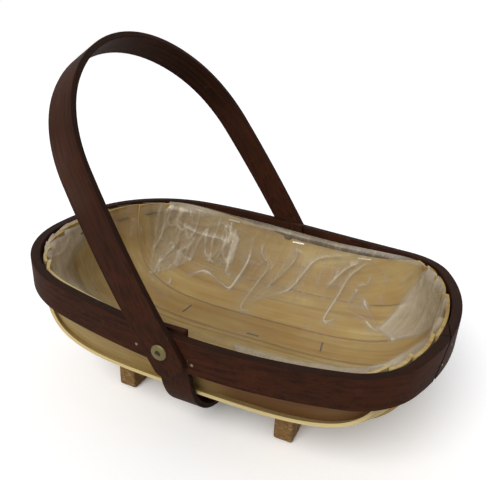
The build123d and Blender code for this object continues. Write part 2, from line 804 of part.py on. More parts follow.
def liner_outline(drop, inset):
    """Corners of the liner's outline at a drop below the rim's top, all round."""
    half_width = section_half_width(drop) - inset
    corners = {1: [], -1: []}
    for way in (1, -1):
        for line in (floor_line, bilge_line, side_line):
            reach = line["right_reach"] if way > 0 else line["left_reach"]
            end_drop = board_end_drop - rim_height_at(way * reach)
            fall = min(max((drop - end_drop) / (line["drop"] - end_drop), 0), 1)
            run = max(1 - fall**hull_exponent, liner_tip_share) ** (1 / hull_exponent)
            y = line["end_y"] + (line["y"] - line["end_y"]) * fall
            corners[way].append((waist_x + way * (reach - inset) * run, min(y - inset / 2, half_width)))
        shoulder_x = waist_x + way * (reach - inset) * run * liner_shoulder_run_share
        corners[way].append((shoulder_x, max(half_width * liner_shoulder_width_share, corners[way][-1][1])))
    rear = corners[1] + [(waist_x, half_width)] + corners[-1][::-1]
    return rear + [(x, -y) for x, y in reversed(rear)]


def liner_levels(inset, lift):
    """Heights and outlines of the liner's levels, from its top to its floor on the centre board."""
    floor_drop = rim_top - centre_high(pi / 2).Z - liner_gap
    for share in liner_level_shares:
        yield rim_top - share * floor_drop + lift, liner_outline(share * floor_drop, inset)


with BuildPart() as liner:
    for height, corners in liner_levels(liner_stand_off, 0):
        with BuildSketch(Plane.XY.offset(height)):
            with BuildLine():
                Polyline(*corners, close=True)
            make_face()
    loft(ruled=True)
    for height, corners in liner_levels(liner_stand_off + liner_wall, liner_wall):
        with BuildSketch(Plane.XY.offset(height)):
            with BuildLine():
                Polyline(*corners, close=True)
            make_face()
    loft(ruled=True, mode=Mode.SUBTRACT)
    with BuildSketch(Plane.XZ):
        with BuildLine():
            top = rim_top + overrun
            left, right = waist_x - rim_left_reach, waist_x + rim_right_reach
            Polyline(
                (left, top),
                (left, rim_top - liner_rim_drop + liner_rim_fall / 2),
                (right, rim_top - liner_rim_drop - liner_rim_fall / 2),
                (right, top),
                close=True,
            )
        make_face()
    extrude(amount=rim_half_width, both=True, mode=Mode.SUBTRACT)
liner.part.label = "liner"
export_step(liner.part, "parts/liner.step")
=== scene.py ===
# %% [markdown]
# # A garden trug
# A trug is a shallow basket made of thin boards that lap over each other like the planks of a boat.
# A bent strip of wood is its rim, a second strip passes under the floor, and a third is the handle.
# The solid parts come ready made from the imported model, in metres, and keep their shape and place.
# This script gives them their finishes, adds the clear film that lines the basket, and lights it all.

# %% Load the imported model
import math

import bpy
import numpy as np
from mathutils import Matrix, Vector, noise
from mathutils.bvhtree import BVHTree


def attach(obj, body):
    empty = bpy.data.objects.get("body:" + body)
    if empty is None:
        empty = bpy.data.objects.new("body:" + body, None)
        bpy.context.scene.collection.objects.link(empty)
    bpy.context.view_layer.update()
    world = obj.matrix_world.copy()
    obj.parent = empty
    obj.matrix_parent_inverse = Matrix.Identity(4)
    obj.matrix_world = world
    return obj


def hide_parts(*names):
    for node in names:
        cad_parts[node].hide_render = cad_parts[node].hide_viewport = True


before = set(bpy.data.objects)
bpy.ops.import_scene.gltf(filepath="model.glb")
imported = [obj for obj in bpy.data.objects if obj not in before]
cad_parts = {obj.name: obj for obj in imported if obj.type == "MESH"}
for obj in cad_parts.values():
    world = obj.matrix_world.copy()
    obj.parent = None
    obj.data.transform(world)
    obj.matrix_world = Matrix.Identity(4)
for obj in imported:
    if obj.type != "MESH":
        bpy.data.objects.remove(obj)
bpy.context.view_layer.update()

print("solid parts:", len(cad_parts))

# %% [markdown]
# ## The camera
# The trug was seen from the right of its front, from about half a metre away and from above.
# A camera could be aimed with a Track To constraint, but that keeps it level, and the real one leant a bit.
# Here its three axes are written down, and a Matrix turns them into the camera's place.
# The small vertical shift keeps the trug where it stood in the picture.

# %% Stand the camera where the viewer stood
camera_place = Vector((0.1715, -0.3821, 0.3079))
camera_right = Vector((0.90591, 0.42131, 0.04263))
camera_up = Vector((-0.21108, 0.36198, 0.90797))
camera_back = Vector((0.36711, -0.83154, 0.41685))
picture_width, picture_height = 487, 480
picture_centre = (243.70, 264.77)
focal_pixels = 530.854

camera_data = bpy.data.cameras.new("viewer")
camera_data.sensor_width = 36
camera_data.lens = focal_pixels / picture_width * camera_data.sensor_width
camera_data.shift_x = (picture_width / 2 - picture_centre[0]) / picture_width
camera_data.shift_y = (picture_centre[1] - picture_height / 2) / picture_width
camera_data.clip_start = 0.01
viewer = bpy.data.objects.new("viewer", camera_data)
turned = Matrix((camera_right, camera_up, camera_back)).transposed().to_4x4()
viewer.matrix_world = Matrix.Translation(camera_place) @ turned
bpy.context.scene.collection.objects.link(viewer)
bpy.context.scene.camera = viewer
print("lens", round(camera_data.lens, 2), "mm, shift", round(camera_data.shift_y, 4))

# %% [markdown]
# ## Shader maths that reads like maths
# Each finish below is a tree of nodes. Adding and linking them one by one hides what is worked out.
# `Wire` wraps an output socket, so that `1 - mask` or `grain * 0.3` adds the Math node by itself.
# `Finish` is one material: `node` adds any other node, sets its settings first and then its sockets.

# %% A socket that can be calculated with
class Wire:
    """An output socket that adds Math nodes when it is used in an expression."""

    def __init__(self, finish, socket):
        self.finish = finish
        self.socket = socket

    def maths(self, operation, *values):
        inputs = dict(enumerate(values))
        return self.finish.node("ShaderNodeMath", {"operation": operation}, inputs)

    def __add__(self, other):
        return self.maths("ADD", self, other)

    def __sub__(self, other):
        return self.maths("SUBTRACT", self, other)

    def __rsub__(self, other):
        return self.maths("SUBTRACT", other, self)

    def __mul__(self, other):
        return self.maths("MULTIPLY", self, other)

    def __truediv__(self, other):
        return self.maths("DIVIDE", self, other)

    def __gt__(self, other):
        return self.maths("GREATER_THAN", self, other)

    __radd__ = __add__
    __rmul__ = __mul__

    def size(self):
        return self.maths("ABSOLUTE", self)

    def wave(self):
        return self.maths("SINE", self)

    def root(self):
        return self.maths("SQRT", self)

    def turn_to(self, other):
        return self.maths("ARCTAN2", self, other)

    def between(self, low, high):
        """0 below low, 1 above high and a smooth step between; high may be the lower one."""
        settings = {"interpolation_type": "SMOOTHSTEP"}
        return self.finish.node("ShaderNodeMapRange", settings, {0: self, 1: low, 2: high})


# %% A material that is written as a list of nodes
class Finish:
    """One material; its nodes are added by node(), and coat() ends it in a Principled BSDF."""

    def __init__(self, name):
        self.material = bpy.data.materials.new(name)
        self.material.use_nodes = True
        self.tree = self.material.node_tree
        self.tree.nodes.clear()

    def node(self, kind, settings=None, inputs=None, output=0):
        made = self.tree.nodes.new(kind)
        for key, value in (settings or {}).items():
            if key == "stops":
                ramp = made.color_ramp
                while len(ramp.elements) < len(value):
                    ramp.elements.new(0.5)
                for element, (position, colour) in zip(ramp.elements, value):
                    element.position = position
                    element.color = (*colour, 1)
            else:
                setattr(made, key, value)
        for key, value in (inputs or {}).items():
            self.feed(made.inputs[key], value)
        return Wire(self, made.outputs[output]) if made.outputs else None

    def feed(self, socket, value):
        if isinstance(value, Wire):
            self.tree.links.new(value.socket, socket)
        elif socket.type == "RGBA" and len(value) == 3:
            socket.default_value = (*value, 1)
        else:
            socket.default_value = value

    def place(self):
        """The three coordinates of a point of the piece, in metres, as it stands at rest."""
        spot = self.node("ShaderNodeTexCoord", output=3)
        return [self.node("ShaderNodeSeparateXYZ", {}, {0: spot}, output=axis) for axis in range(3)]

    def facing(self):
        """The three parts of the surface's direction, in the piece's own axes."""
        normal = self.node("ShaderNodeTexCoord", output=1)
        return [self.node("ShaderNodeSeparateXYZ", {}, {0: normal}, output=axis) for axis in range(3)]

    def vector(self, x, y, z):
        return self.node("ShaderNodeCombineXYZ", {}, {0: x, 1: y, 2: z})

    def noise(self, vector, scale=1.0, detail=3.0, roughness=0.55, w=None, distortion=0.0):
        settings = {"noise_dimensions": "3D" if w is None else "4D"}
        inputs = {"Vector": vector, "Scale": scale, "Detail": detail, "Roughness": roughness}
        inputs["Distortion"] = distortion
        if w is not None:
            inputs["W"] = w
        return self.node("ShaderNodeTexNoise", settings, inputs)

    def mix(self, share, first, second):
        """A colour between two colours."""
        settings = {"data_type": "RGBA"}
        return self.node("ShaderNodeMix", settings, {0: share, 6: first, 7: second}, output=2)

    def ramp(self, share, stops):
        return self.node("ShaderNodeValToRGB", {"stops": stops}, {0: share})

    def relief(self, height, distance, strength=1.0, normal=None):
        inputs = {"Strength": strength, "Distance": distance, "Height": height}
        if normal is not None:
            inputs["Normal"] = normal
        return self.node("ShaderNodeBump", {}, inputs)

    def coat(self, **sockets):
        """End the finish in a Principled BSDF; underscores stand for spaces in socket names."""
        inputs = {key.replace("_", " "): value for key, value in sockets.items()}
        shader = self.node("ShaderNodeBsdfPrincipled", {}, inputs)
        self.node("ShaderNodeOutputMaterial", {}, {0: shader})
        return self.material


def give(material, *names):
    """Put a material in every slot of the named parts."""
    for name in names:
        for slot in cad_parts[name].material_slots:
            slot.material = material
    print(material.name, "on", ", ".join(names))


# %% [markdown]
# ## Dark stained wood
# The rim, the handle and the lower hoop are sawn strips that were steamed, bent and stained almost black.
# The stain is redder where it is thin, streaks run along each strip, and handling has rubbed spots pale.
# A picture of wood could be wrapped round each strip. A noise does it without any unwrapping:
# it changes slowly along the strip and quickly across it, so every strip only needs its own two directions.

# %% One recipe for the three strips
stain_black = (0.0098, 0.0040, 0.0022)
stain_brown = (0.025, 0.0088, 0.0038)
stain_red = (0.045, 0.0135, 0.0056)
rubbed_wood = (0.105, 0.060, 0.044)
joint_dark = (0.0016, 0.0009, 0.0007)
streak_pace, fibre_pace = 420, 1900
cloud_scale, speck_scale, wander_scale, rub_scale = 26.0, 900.0, 160.0, 70.0
stain_relief = 0.0006


def stained(name, lay, sawn, seed, rub_spots=(), crack=None):
    """A stained strip. lay gives the slow direction along it and the quick one across it.
    sawn gives the phase of the saw lines and where they are, and rub_spots are (point, reach, strength).
    crack gives how near a point is to an open joint, where the wood is darkened and sunk."""
    finish = Finish(name)
    x, y, z = finish.place()
    slow, quick = lay(finish, x, y, z)
    streak = finish.noise(slow, 1.0, 4.0, 0.6, w=quick * streak_pace + seed)
    fibre = finish.noise(slow, 2.5, 3.0, 0.65, w=quick * fibre_pace + seed)
    spot = finish.vector(x, y, z)
    cloud = finish.noise(spot, cloud_scale, 3.0, 0.6, w=seed)
    speck = finish.noise(spot, speck_scale, 2.0, 0.5, w=seed)
    tone = (cloud * 0.62 + streak * 0.38).between(0.36, 0.64)
    colour = finish.mix(tone, stain_brown, stain_red)
    dark_streak = (streak * 0.6 + fibre * 0.4).between(0.53, 0.33) * 0.8
    colour = finish.mix(dark_streak, colour, stain_black)
    phase, sawn_mask = sawn(finish, x, y, z)
    wander = finish.noise(spot, wander_scale, 2.0, 0.5, w=seed + 3)
    tooth = (phase + wander * 3.5).wave().between(-0.5, 0.9)
    colour = finish.mix(sawn_mask * (0.35 + tooth * 0.4), colour, stain_black)
    rubbed = finish.noise(spot, rub_scale, 4.0, 0.65, w=seed + 9).between(0.60, 0.78) * 0.30
    for (sx, sy, sz), reach, strength in rub_spots:
        away = ((x - sx) * (x - sx) + (y - sy) * (y - sy) + (z - sz) * (z - sz)).root()
        rubbed = rubbed + away.between(reach, 0.0) * strength * fibre.between(0.25, 0.65)
    colour = finish.mix(rubbed, colour, rubbed_wood)
    height = fibre * 0.5 + streak * 0.35 + speck * 0.12 - sawn_mask * tooth * 0.55
    if crack is not None:
        # The wood is darkened and sunk along the lap joint.
        gap = crack(finish, x, y, z, wander)
        colour = finish.mix(gap, colour, joint_dark)
        height = height - gap * 1.5
    return finish.coat(
        Base_Color=colour,
        Roughness=0.66 + cloud * 0.16 - rubbed * 0.2,
        Specular_IOR_Level=0.08,
        Normal=finish.relief(height, stain_relief, 0.8),
    )


# %% The rim, with its saw lines across the top
rim_centre_x = 0.0028
rim_top_inner = 0.1163
lap_top_z, lap_top_y, lap_slant = 0.1176, -0.036, 1.045


def rim_lay(finish, x, y, z):
    around = ((x - rim_centre_x) * (x - rim_centre_x) * 0.5 + y * y).root()
    return finish.vector(x * 9, y * 9, z * 330), around


def rim_sawn(finish, x, y, z):
    _, _, upward = finish.facing()
    phase = y.turn_to((x - rim_centre_x) * 0.72) * 760
    return phase, upward.between(0.6, 0.9)


def rim_crack(finish, x, y, z, wander):
    """The lap at the right front corner, which leans from the top edge to the bottom one."""
    lap_y = (z - lap_top_z) * lap_slant + lap_top_y
    away = (y - lap_y + (wander - 0.5) * 0.002).size()
    wide = z.between(0.116, 0.094) * 0.0008 + 0.0013
    return (away / wide).between(1.3, 0.4) * x.between(0.13, 0.14)


give(stained("stained_rim", rim_lay, rim_sawn, 2.0, crack=rim_crack), "rim_band")

# %% The handle, with saw lines on its edges and rubbed faces
lean = math.radians(33.0)
handle_up = (-math.sin(lean), 0.0, math.cos(lean))
handle_side = (math.cos(lean), 0.0, math.sin(lean))
pivot = (0.0028, 0.0, 0.105)
bend_centre = 0.09
edge_from, edge_full = 0.0118, 0.0127


def handle_frame(x, z):
    side = (x - pivot[0]) * handle_side[0] + (z - pivot[2]) * handle_side[2]
    up = (x - pivot[0]) * handle_up[0] + (z - pivot[2]) * handle_up[2]
    return side, up


def handle_lay(finish, x, y, z):
    side, up = handle_frame(x, z)
    around = (y * y + (up - bend_centre) * (up - bend_centre)).root()
    return finish.vector(up * 9, y * 9, around * 260), side


def handle_sawn(finish, x, y, z):
    side, up = handle_frame(x, z)
    phase = y.turn_to(up - bend_centre) * 620
    return phase, side.size().between(edge_from, edge_full)


handle_rubs = (
    ((-0.0860, -0.1260, 0.2150), 0.030, 0.42),
    ((-0.0660, -0.1290, 0.1980), 0.020, 0.30),
)
give(stained("stained_handle", handle_lay, handle_sawn, 5.0, handle_rubs), "handle_hoop")


# %% The lower hoop, which passes inside the rim and under the floor
def strap_lay(finish, x, y, z):
    around = (y * y * 0.3 + (z - 0.12) * (z - 0.12)).root()
    return finish.vector(y * 9, z * 9, around * 260), x


def strap_sawn(finish, x, y, z):
    return (y * 900 + z * 900), (x - pivot[0]).size().between(edge_from, edge_full)


give(stained("stained_lower_hoop", strap_lay, strap_sawn, 8.0), "lower_hoop")

# %% [markdown]
# ## Pale boards
# The boards are sawn thin from poplar: straw coloured with a green tinge, silky, with faint brown streaks.
# Each came from another plank, so each has a tone, streaks and knots of its own.
# The grain runs the length of a board. Along its length y hardly changes, so y is the quick direction here.

# %% One recipe for the boards
board_straw = (0.400, 0.268, 0.084)
board_cream = (0.530, 0.410, 0.175)
board_tan = (0.330, 0.186, 0.048)
board_streak = (0.210, 0.094, 0.021)
# The pale colour of the painted highlight on the upward board edges
edge_highlight = (0.600, 0.480, 0.235)
# The dark orange brown of the painted shade low on the front side board
lower_shade_brown = (0.110, 0.036, 0.011)
knot_brown = (0.075, 0.036, 0.014)


def board(name, seed, tone, streaks=(), knots=(), quick=260.0, lower_shade=None):
    """A board. tone moves it from tan to cream, and quick is how fast the grain changes across it.
    streaks are (y, half width, strength), and knots are (x, y, z, radius).
    lower_shade is painted shade on the lower part of its outer face: the heights where that starts and is
    full, and two x."""
    finish = Finish(name)
    x, y, z = finish.place()
    slow = finish.vector(x * 5.0, y * quick, z * 14)
    bow = finish.noise(finish.vector(x * 9, y * 30, z * 9), 1.0, 2.0, 0.5, w=seed + 4)
    grain = finish.noise(slow, 1.0, 4.0, 0.6, w=bow * 2.2 + seed)
    fine = finish.noise(finish.vector(x * 22, y * quick * 6, z * 40), 1.0, 3.0, 0.6, w=seed + 1)
    cloud = finish.noise(finish.vector(x * 12, y * 34, z * 20), 1.0, 3.0, 0.6, w=seed + 2)
    colour = finish.ramp(
        cloud * 0.65 + grain * 0.35 + (tone - 0.5) * 0.45,
        [(0.34, board_tan), (0.50, board_straw), (0.66, board_cream)],
    )
    colour = finish.mix(fine.between(0.58, 0.36) * 0.20, colour, board_streak)
    for middle, half_width, strength in streaks:
        away = (y.size() - middle + (bow - 0.5) * half_width * 2.5).size()
        streak = away.between(half_width, 0.0) * strength * (0.35 + grain * 0.9)
        colour = finish.mix(streak, colour, board_streak)
    _, facing_y, facing_z = finish.facing()
    outward = facing_y * y.maths("SIGN", y)
    # Painted shade: the outer face is darkened to an orange brown towards its bottom, more so right of the
    # strap.
    if lower_shade is not None:
        top_z, low_z, start_x, end_x = lower_shade
        shaded_share = z.between(top_z, low_z) * (0.30 + 0.62 * x.between(start_x, end_x)) * (outward > 0.0)
        colour = finish.mix(shaded_share * (0.75 + grain * 0.4), colour, lower_shade_brown)
    # Painted highlight: the sawn edges that face outward and up are painted paler, where light falls on them.
    lit_edge = outward.between(0.05, 0.3) * facing_z.between(0.2, 0.5)
    colour = finish.mix(lit_edge * (0.55 + fine * 0.4), colour, edge_highlight)
    hollow = 0.0
    for kx, ky, kz, radius in knots:
        away = ((x - kx) * (x - kx) * 0.35 + (y - ky) * (y - ky) + (z - kz) * (z - kz)).root()
        mark = (away + (fine - 0.5) * radius * 0.8).between(radius, radius * 0.3)
        colour = finish.mix(mark * 0.85, colour, knot_brown)
        hollow = mark + hollow
    height = grain * 0.5 + fine * 0.5 - hollow * 0.8
    return finish.coat(
        Base_Color=colour,
        Roughness=0.50 + grain * 0.16,
        Specular_IOR_Level=0.22,
        Normal=finish.relief(height, 0.00035, 0.7),
    )


# %% Seven boards, each with its own plank
wide_grain = 210
rear_side = board("rear_side_poplar", 11.0, 0.50, quick=wide_grain)
rear_bilge = board(
    "rear_bilge_poplar", 23.0, 0.46,
    streaks=[(0.078, 0.004, 0.5)],
    knots=[(0.055, 0.070, 0.046, 0.002)],
)
rear_floor = board(
    "rear_floor_poplar", 31.0, 0.36,
    streaks=[(0.044, 0.006, 0.35)],
    knots=[(-0.020, 0.045, 0.034, 0.0016)],
)
middle = board("centre_poplar", 47.0, 0.52, streaks=[(0.020, 0.003, 0.6)])
front_floor = board("front_floor_poplar", 53.0, 0.56, streaks=[(0.047, 0.003, 0.5), (0.030, 0.002, 0.4)])
front_bilge = board("front_bilge_poplar", 61.0, 0.82, streaks=[(0.058, 0.002, 0.6), (0.072, 0.0025, 0.45)])
front_side = board(
    "front_side_poplar", 71.0, 0.86,
    streaks=[(0.100, 0.004, 0.4)],
    quick=wide_grain,
    # painted shade low on the outer face
    lower_shade=(0.096, 0.080, 0.004, 0.050),
)
give(rear_side, "rear_side_board")
give(rear_bilge, "rear_bilge_board")
give(rear_floor, "rear_floor_board")
give(middle, "centre_board")
give(front_floor, "front_floor_board")
give(front_bilge, "front_bilge_board")
give(front_side, "front_side_board")

# %% [markdown]
# ## Chipboard feet
# Each foot is a bar of chipboard. Its sawn ends show the pressed chips: tan flakes, pale ones and dark bark.
# A Voronoi texture gives every chip a cell, and each cell's own random colour picks the kind of chip.
# The cells are squeezed along the bar's thickness, because the chips lay flat when they were pressed.

# %% The chipboard
chip_tan = (0.215, 0.112, 0.036)
chip_pale = (0.400, 0.262, 0.112)
chip_dark = (0.048, 0.022, 0.008)
chip_scale, bark_scale = 430.0, 250.0


def chipboard(name, seed):
    finish = Finish(name)
    x, y, z = finish.place()
    bend = finish.noise(finish.vector(x, y, z), 190.0, 3.0, 0.7, w=seed)
    spot = finish.vector(x * 0.8 + bend * 0.006, y * 0.8 + bend * 0.004, z * 1.7 - bend * 0.005 + seed)
    cells = {"Vector": spot, "Scale": chip_scale}
    chips = finish.node("ShaderNodeTexVoronoi", {}, cells, output=1)
    kind = finish.node("ShaderNodeSeparateColor", {}, {0: chips})
    edge = finish.node("ShaderNodeTexVoronoi", {"feature": "DISTANCE_TO_EDGE"}, cells)
    dust = finish.noise(finish.vector(x, y, z), 1500.0, 3.0, 0.6, w=seed)
    colour = finish.ramp(
        kind * 0.45 + dust * 0.55,
        [(0.16, chip_dark), (0.32, chip_tan), (0.60, chip_tan), (0.78, chip_pale)],
    )
    flat_spot = finish.vector(x + bend * 0.004, y, z * 2.4 + bend * 0.006)
    bark = finish.noise(flat_spot, bark_scale, 2.0, 0.6, w=seed + 5)
    colour = finish.mix(bark.between(0.62, 0.68) * 0.8, colour, chip_dark)
    colour = finish.mix(edge.between(0.06, 0.0) * 0.30, colour, chip_dark)
    height = kind * 0.5 + edge * 0.6 + dust * 0.3
    return finish.coat(
        Base_Color=colour,
        Roughness=0.78 + dust * 0.12,
        Specular_IOR_Level=0.3,
        Normal=finish.relief(height, 0.0007, 0.8),
    )


give(chipboard("left_chipboard", 1.3), "left_foot")
give(chipboard("right_chipboard", 4.7), "right_foot")

# %% [markdown]
# ## Brass and steel
# The rivets are dull brass with a dark dimple and grime round the edge. The staples are thin steel wire,
# bright where they are new and grey where the wood's acid has tarnished them.
# Bare metal takes its look from what it mirrors, so its roughness and its stains do most of the work.

# %% The rivets and the rings behind them
brass = (0.150, 0.122, 0.052)
brass_dark = (0.040, 0.027, 0.011)


def brass_finish(name):
    finish = Finish(name)
    x, y, z = finish.place()
    away = ((x - pivot[0]) * (x - pivot[0]) + (z - pivot[2]) * (z - pivot[2])).root()
    grime = finish.noise(finish.vector(x, y, z), 380.0, 4.0, 0.65)
    ring = away.between(0.0052, 0.0060) * 0.55 + away.between(0.0026, 0.0014) * 0.85
    dirt = (ring + grime.between(0.50, 0.78) * 0.55).between(0.0, 1.0)
    scratch = finish.noise(finish.vector(x * 3, y, z), 2600.0, 2.0, 0.5)
    return finish.coat(
        Base_Color=finish.mix(dirt, brass, brass_dark),
        Metallic=0.94 - dirt * 0.35,
        Roughness=0.30 + grime * 0.18 + dirt * 0.25,
        Normal=finish.relief(grime * 0.6 + scratch * 0.4, 0.0002, 0.5),
    )


give(brass_finish("dull_brass"), "rear_rivet", "front_rivet", "rear_rivet_washer", "front_rivet_washer")


# %% The staples and the nails
def steel_finish(name, bright, dull, share):
    """Steel wire; share is how much of it has gone dull."""
    finish = Finish(name)
    x, y, z = finish.place()
    patch = finish.noise(finish.vector(x, y, z), 190.0, 3.0, 0.6)
    drawn = finish.noise(finish.vector(x, y, z), 3000.0, 2.0, 0.5)
    rust = (patch + (share - 0.5)).between(0.38, 0.62)
    return finish.coat(
        Base_Color=finish.mix(rust, bright, dull),
        Metallic=0.95 - rust * 0.45,
        Roughness=0.26 + rust * 0.32 + drawn * 0.08,
        Normal=finish.relief(drawn + patch, 0.0001, 0.5),
    )


steel_bright = (0.72, 0.71, 0.69)
steel_dull = (0.115, 0.105, 0.095)
steel_rusty = (0.21, 0.16, 0.09)
bright_wire = steel_finish("bright_wire", steel_bright, steel_dull, 0.28)
tarnished_wire = steel_finish("tarnished_wire", steel_bright, steel_dull, 0.72)
nail_steel = steel_finish("nail_steel", steel_rusty, steel_dull, 0.45)
give(bright_wire, "liner_staples")
give(tarnished_wire, "board_staples", "foot_staples", "strap_staples")
give(nail_steel, "rim_nails", "rim_lap_nails")

# %% [markdown]
# ## The clear film
# A sheet of clear plastic lines the basket, so that damp earth doesn't stain the boards. It was pushed in
# loosely and stapled, so it follows the boards only roughly and is full of creases that catch the light.
# Cloth physics could drape such a sheet, but its creases would fall where chance puts them.
# So the sheet is cast: rays go out from a line high over the floor, and the film stops just short of
# what they meet. The creases are then drawn along lines that were read off the picture, and the
# viewer's lens carries each line onto the sheet.

# %% What the film lies against
def board_tree(names):
    """One search tree of the named parts' faces."""
    corners, faces = [], []
    for name in names:
        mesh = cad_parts[name].data
        start = len(corners)
        corners += [v.co.copy() for v in mesh.vertices]
        faces += [[start + i for i in p.vertices] for p in mesh.polygons]
    return BVHTree.FromPolygons(corners, faces)


sides = ("rear", "front")
backing = ["rim_band", "lower_hoop", "centre_board"]
backing += [f"{side}_{row}_board" for side in sides for row in ("side", "bilge", "floor")]
basket = board_tree(backing)
print("the film lies against", len(backing), "parts")

# %% The height of the rim's top along the trug
waist_x, rim_fall = 0.0028, 0.0141
right_reach, left_reach = 0.1787, 0.1843
right_rise, left_rise = 0.0016, 0.0117


def rim_top_at(x):
    along = np.asarray(x) - waist_x
    right = -rim_fall * along / right_reach + (right_rise + rim_fall) * (along / right_reach) ** 2
    bend = left_rise - rim_fall * left_reach / right_reach
    left = -rim_fall * along / right_reach + bend * (along / left_reach) ** 2
    return rim_top_inner + np.where(along > 0, right, left)


# %% Where the rays start, and which way they go round
around_count, down_count = 960, 200
spine_share, spine_lift = 0.62, 0.012
oval_half_length, oval_half_width, squareness = 0.1705, 0.1178, 0.62
ray_limit = 0.2


def oval(count):
    """Points evenly along an oval just inside the rim."""
    turn = np.linspace(0, 2 * math.pi, 20001)
    x = waist_x + oval_half_length * np.sign(np.cos(turn)) * np.abs(np.cos(turn)) ** squareness
    y = oval_half_width * np.sign(np.sin(turn)) * np.abs(np.sin(turn)) ** squareness
    run = np.concatenate([[0], np.cumsum(np.hypot(np.diff(x), np.diff(y)))])
    even = np.linspace(0, run[-1], count + 1)[:-1]
    return np.interp(even, run, x), np.interp(even, run, y)


oval_x, oval_y = oval(around_count)
oval_degrees = np.degrees(np.arctan2(oval_y, oval_x)) % 360
spine_x = oval_x * spine_share
spine_z = rim_top_at(oval_x) + spine_lift
way = np.stack([oval_x - spine_x, oval_y], axis=1)
way /= np.linalg.norm(way, axis=1)[:, None]


def cast(i, rise):
    """How far ray i goes before it meets the basket; its rise is in radians above the level."""
    start = Vector((spine_x[i], 0, spine_z[i]))
    ray = Vector((way[i][0] * math.cos(rise), way[i][1] * math.cos(rise), math.sin(rise)))
    return basket.ray_cast(start, ray)[3] or ray_limit


# %% How far the film's top edge lies below the rim, with a slightly ragged cut
edge_drop = np.interp(
    oval_degrees,
    [0, 25, 40, 90, 130, 150, 180, 215, 260, 320, 345, 360],
    [0.0024, 0.0018, 0.0016, 0.0020, 0.0022, 0.0020, 0.0016, 0.0015, 0.0022, 0.0017, 0.0022, 0.0024],
)
rng = np.random.default_rng(4)
three_rounds = np.tile(rng.normal(0, 1, around_count), 3)
ragged = np.convolve(three_rounds, np.hanning(31), "same")[around_count : 2 * around_count]
ragged_depth = 0.0006
edge_drop += ragged / np.abs(ragged).max() * ragged_depth

# %% Even steps up each ray plane, from the middle of the floor to the film's top edge
spike_limit, neighbours = 0.0012, 7
coarse_count, flat_rise = 72, -0.4


def without_spikes(reach):
    """The rays' reaches, where a ray that slipped through a gap between boards follows its neighbours."""
    shifts = range(-neighbours, neighbours + 1)
    beside = np.median([np.roll(reach, shift, axis=0) for shift in shifts], axis=0)
    return np.minimum(reach, beside + spike_limit)


steep = np.linspace(-math.pi / 2, 0.05, coarse_count)
coarse = without_spikes(np.array([[cast(i, rise) for rise in steep] for i in range(around_count)]))
coarse = coarse * np.cos(steep)
for k in np.flatnonzero(steep > flat_rise):
    coarse[:, k] = np.minimum(coarse[:, k], coarse[:, k - 1] + spike_limit)
coarse = coarse / np.cos(steep)
rises = np.zeros((around_count, down_count))
for i in range(around_count):
    reach = coarse[i]
    across, height = reach * np.cos(steep), spine_z[i] + reach * np.sin(steep)
    keep = height <= rim_top_at(oval_x[i]) - edge_drop[i]
    last = coarse_count if keep.all() else max(int(np.argmin(keep)), 2)
    run = np.concatenate([[0], np.cumsum(np.hypot(np.diff(across), np.diff(height)))])
    rises[i] = np.interp(np.linspace(0, run[last - 1], down_count), run, steep)
far = np.array([[cast(i, rise) for rise in rises[i]] for i in range(around_count)])
far = without_spikes(far)
print("rays cast:", far.size)

# %% Past the boards' tips the film stands straight up, clear of the uneven ends
up_share = np.arange(down_count) / down_count
stand_from = int(down_count * 0.86)
straight_step = 0.00006
level_reach = far * np.cos(rises)
for j in range(stand_from, down_count):
    level_reach[:, j] = np.minimum(level_reach[:, j], level_reach[:, j - 1] + straight_step)
far = np.where(np.arange(down_count) >= stand_from, level_reach / np.cos(rises), far)
near_top = np.clip((up_share - 0.66) / 0.12, 0, 1)[None, :]


# %% The loose sheet: it bridges the laps and stays a hair off the wood
def soften(values, width):
    """A running average both ways; it wraps round the basket but not past its edge."""
    kernel = np.hanning(width + 2)[1:-1]
    kernel /= kernel.sum()
    half = width // 2
    ringed = np.concatenate([values[-half:], values, values[:half]])
    ringed = np.apply_along_axis(lambda line: np.convolve(line, kernel, "valid"), 0, ringed)
    padded = np.pad(ringed, ((0, 0), (half, half)), mode="edge")
    return np.apply_along_axis(lambda line: np.convolve(line, kernel, "valid"), 1, padded)


def points_at(reach):
    """The points where the rays end when each goes as far as its reach."""
    flat = reach * np.cos(rises)
    x = spine_x[:, None] + way[:, 0:1] * flat
    y = way[:, 1:2] * flat
    return np.stack([x, y, spine_z[:, None] + reach * np.sin(rises)], axis=2)


hair, slack = 0.0006, 0.0010
lap_width, trend_width, edge_width, tight_reach = 15, 61, 25, 14
loose = np.minimum(soften(far, lap_width) - slack, far - hair)
trend = soften(far, trend_width)
shifts = range(-tight_reach, tight_reach + 1)
tight = trend + np.minimum.reduce([np.roll(far - trend, shift, axis=0) for shift in shifts])
loose += (np.minimum(soften(tight, edge_width) - hair, loose) - loose) * near_top


# %% The viewer's lens, to carry a point of the sheet into the picture
def in_picture(points):
    """Where points of the sheet appear in the picture, in pixels from its left and top."""
    away = points - np.array(camera_place)
    depth = -(away @ np.array(camera_back))
    u = picture_centre[0] + focal_pixels * (away @ np.array(camera_right)) / depth
    v = picture_centre[1] - focal_pixels * (away @ np.array(camera_up)) / depth
    return u, v


def facing_viewer(points):
    """How squarely each point of the sheet faces the viewer: 1 is square on, and 0 is edge on."""
    along = np.roll(points, -1, axis=0) - np.roll(points, 1, axis=0)
    down = np.gradient(points, axis=1)
    inward = np.cross(along, down)
    inward /= np.linalg.norm(inward, axis=2)[:, :, None] + 1e-12
    sight = np.array(camera_place) - points
    return (inward * sight).sum(axis=2) / np.linalg.norm(sight, axis=2)


base = points_at(loose)
pixel_u, pixel_v = in_picture(base)
open_to_view = facing_viewer(base)
if np.median(open_to_view) < 0:
    open_to_view = -open_to_view
lowest_pixel = 372  # lower in the picture the near rim hides the film
seen_share = np.clip(open_to_view / 0.12, 0, 1) * (pixel_v < lowest_pixel)
print("share of the sheet that faces the viewer:", round(float((open_to_view > 0).mean()), 2))
